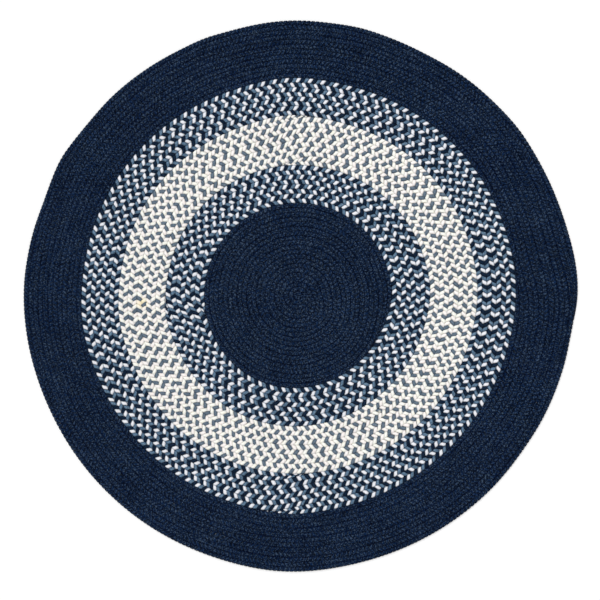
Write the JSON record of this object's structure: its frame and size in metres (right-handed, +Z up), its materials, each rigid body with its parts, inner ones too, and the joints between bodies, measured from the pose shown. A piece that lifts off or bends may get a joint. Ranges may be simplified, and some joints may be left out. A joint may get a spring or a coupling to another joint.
{
  "type": "braided rug",
  "caption": "Round braided rug: a flat braid coiled from the middle and laced edge to edge, with a dark middle and border and mixed and pale bands between them.",
  "frame": {"origin": "middle of the box round the rug, on its underside, which is the floor", "axes": "+Z up out of the rug's face, +Y towards the top of the picture, +X to its right"},
  "size_m": [1.848, 1.8374, 0.012],
  "materials": {
    "navy_braid": "heathered dark navy yarn, matt",
    "mixed_braid": "one navy, one slate blue and one off-white strand, matt",
    "cream_braid": "two cream strands and one slate blue strand, matt"
  },
  "bodies": {
    "root": {"centre_coil": "navy_braid", "inner_mixed_band": "mixed_braid", "cream_band": "cream_braid", "outer_mixed_band": "mixed_braid", "border_band": "navy_braid"}
  },
  "joints": []
}
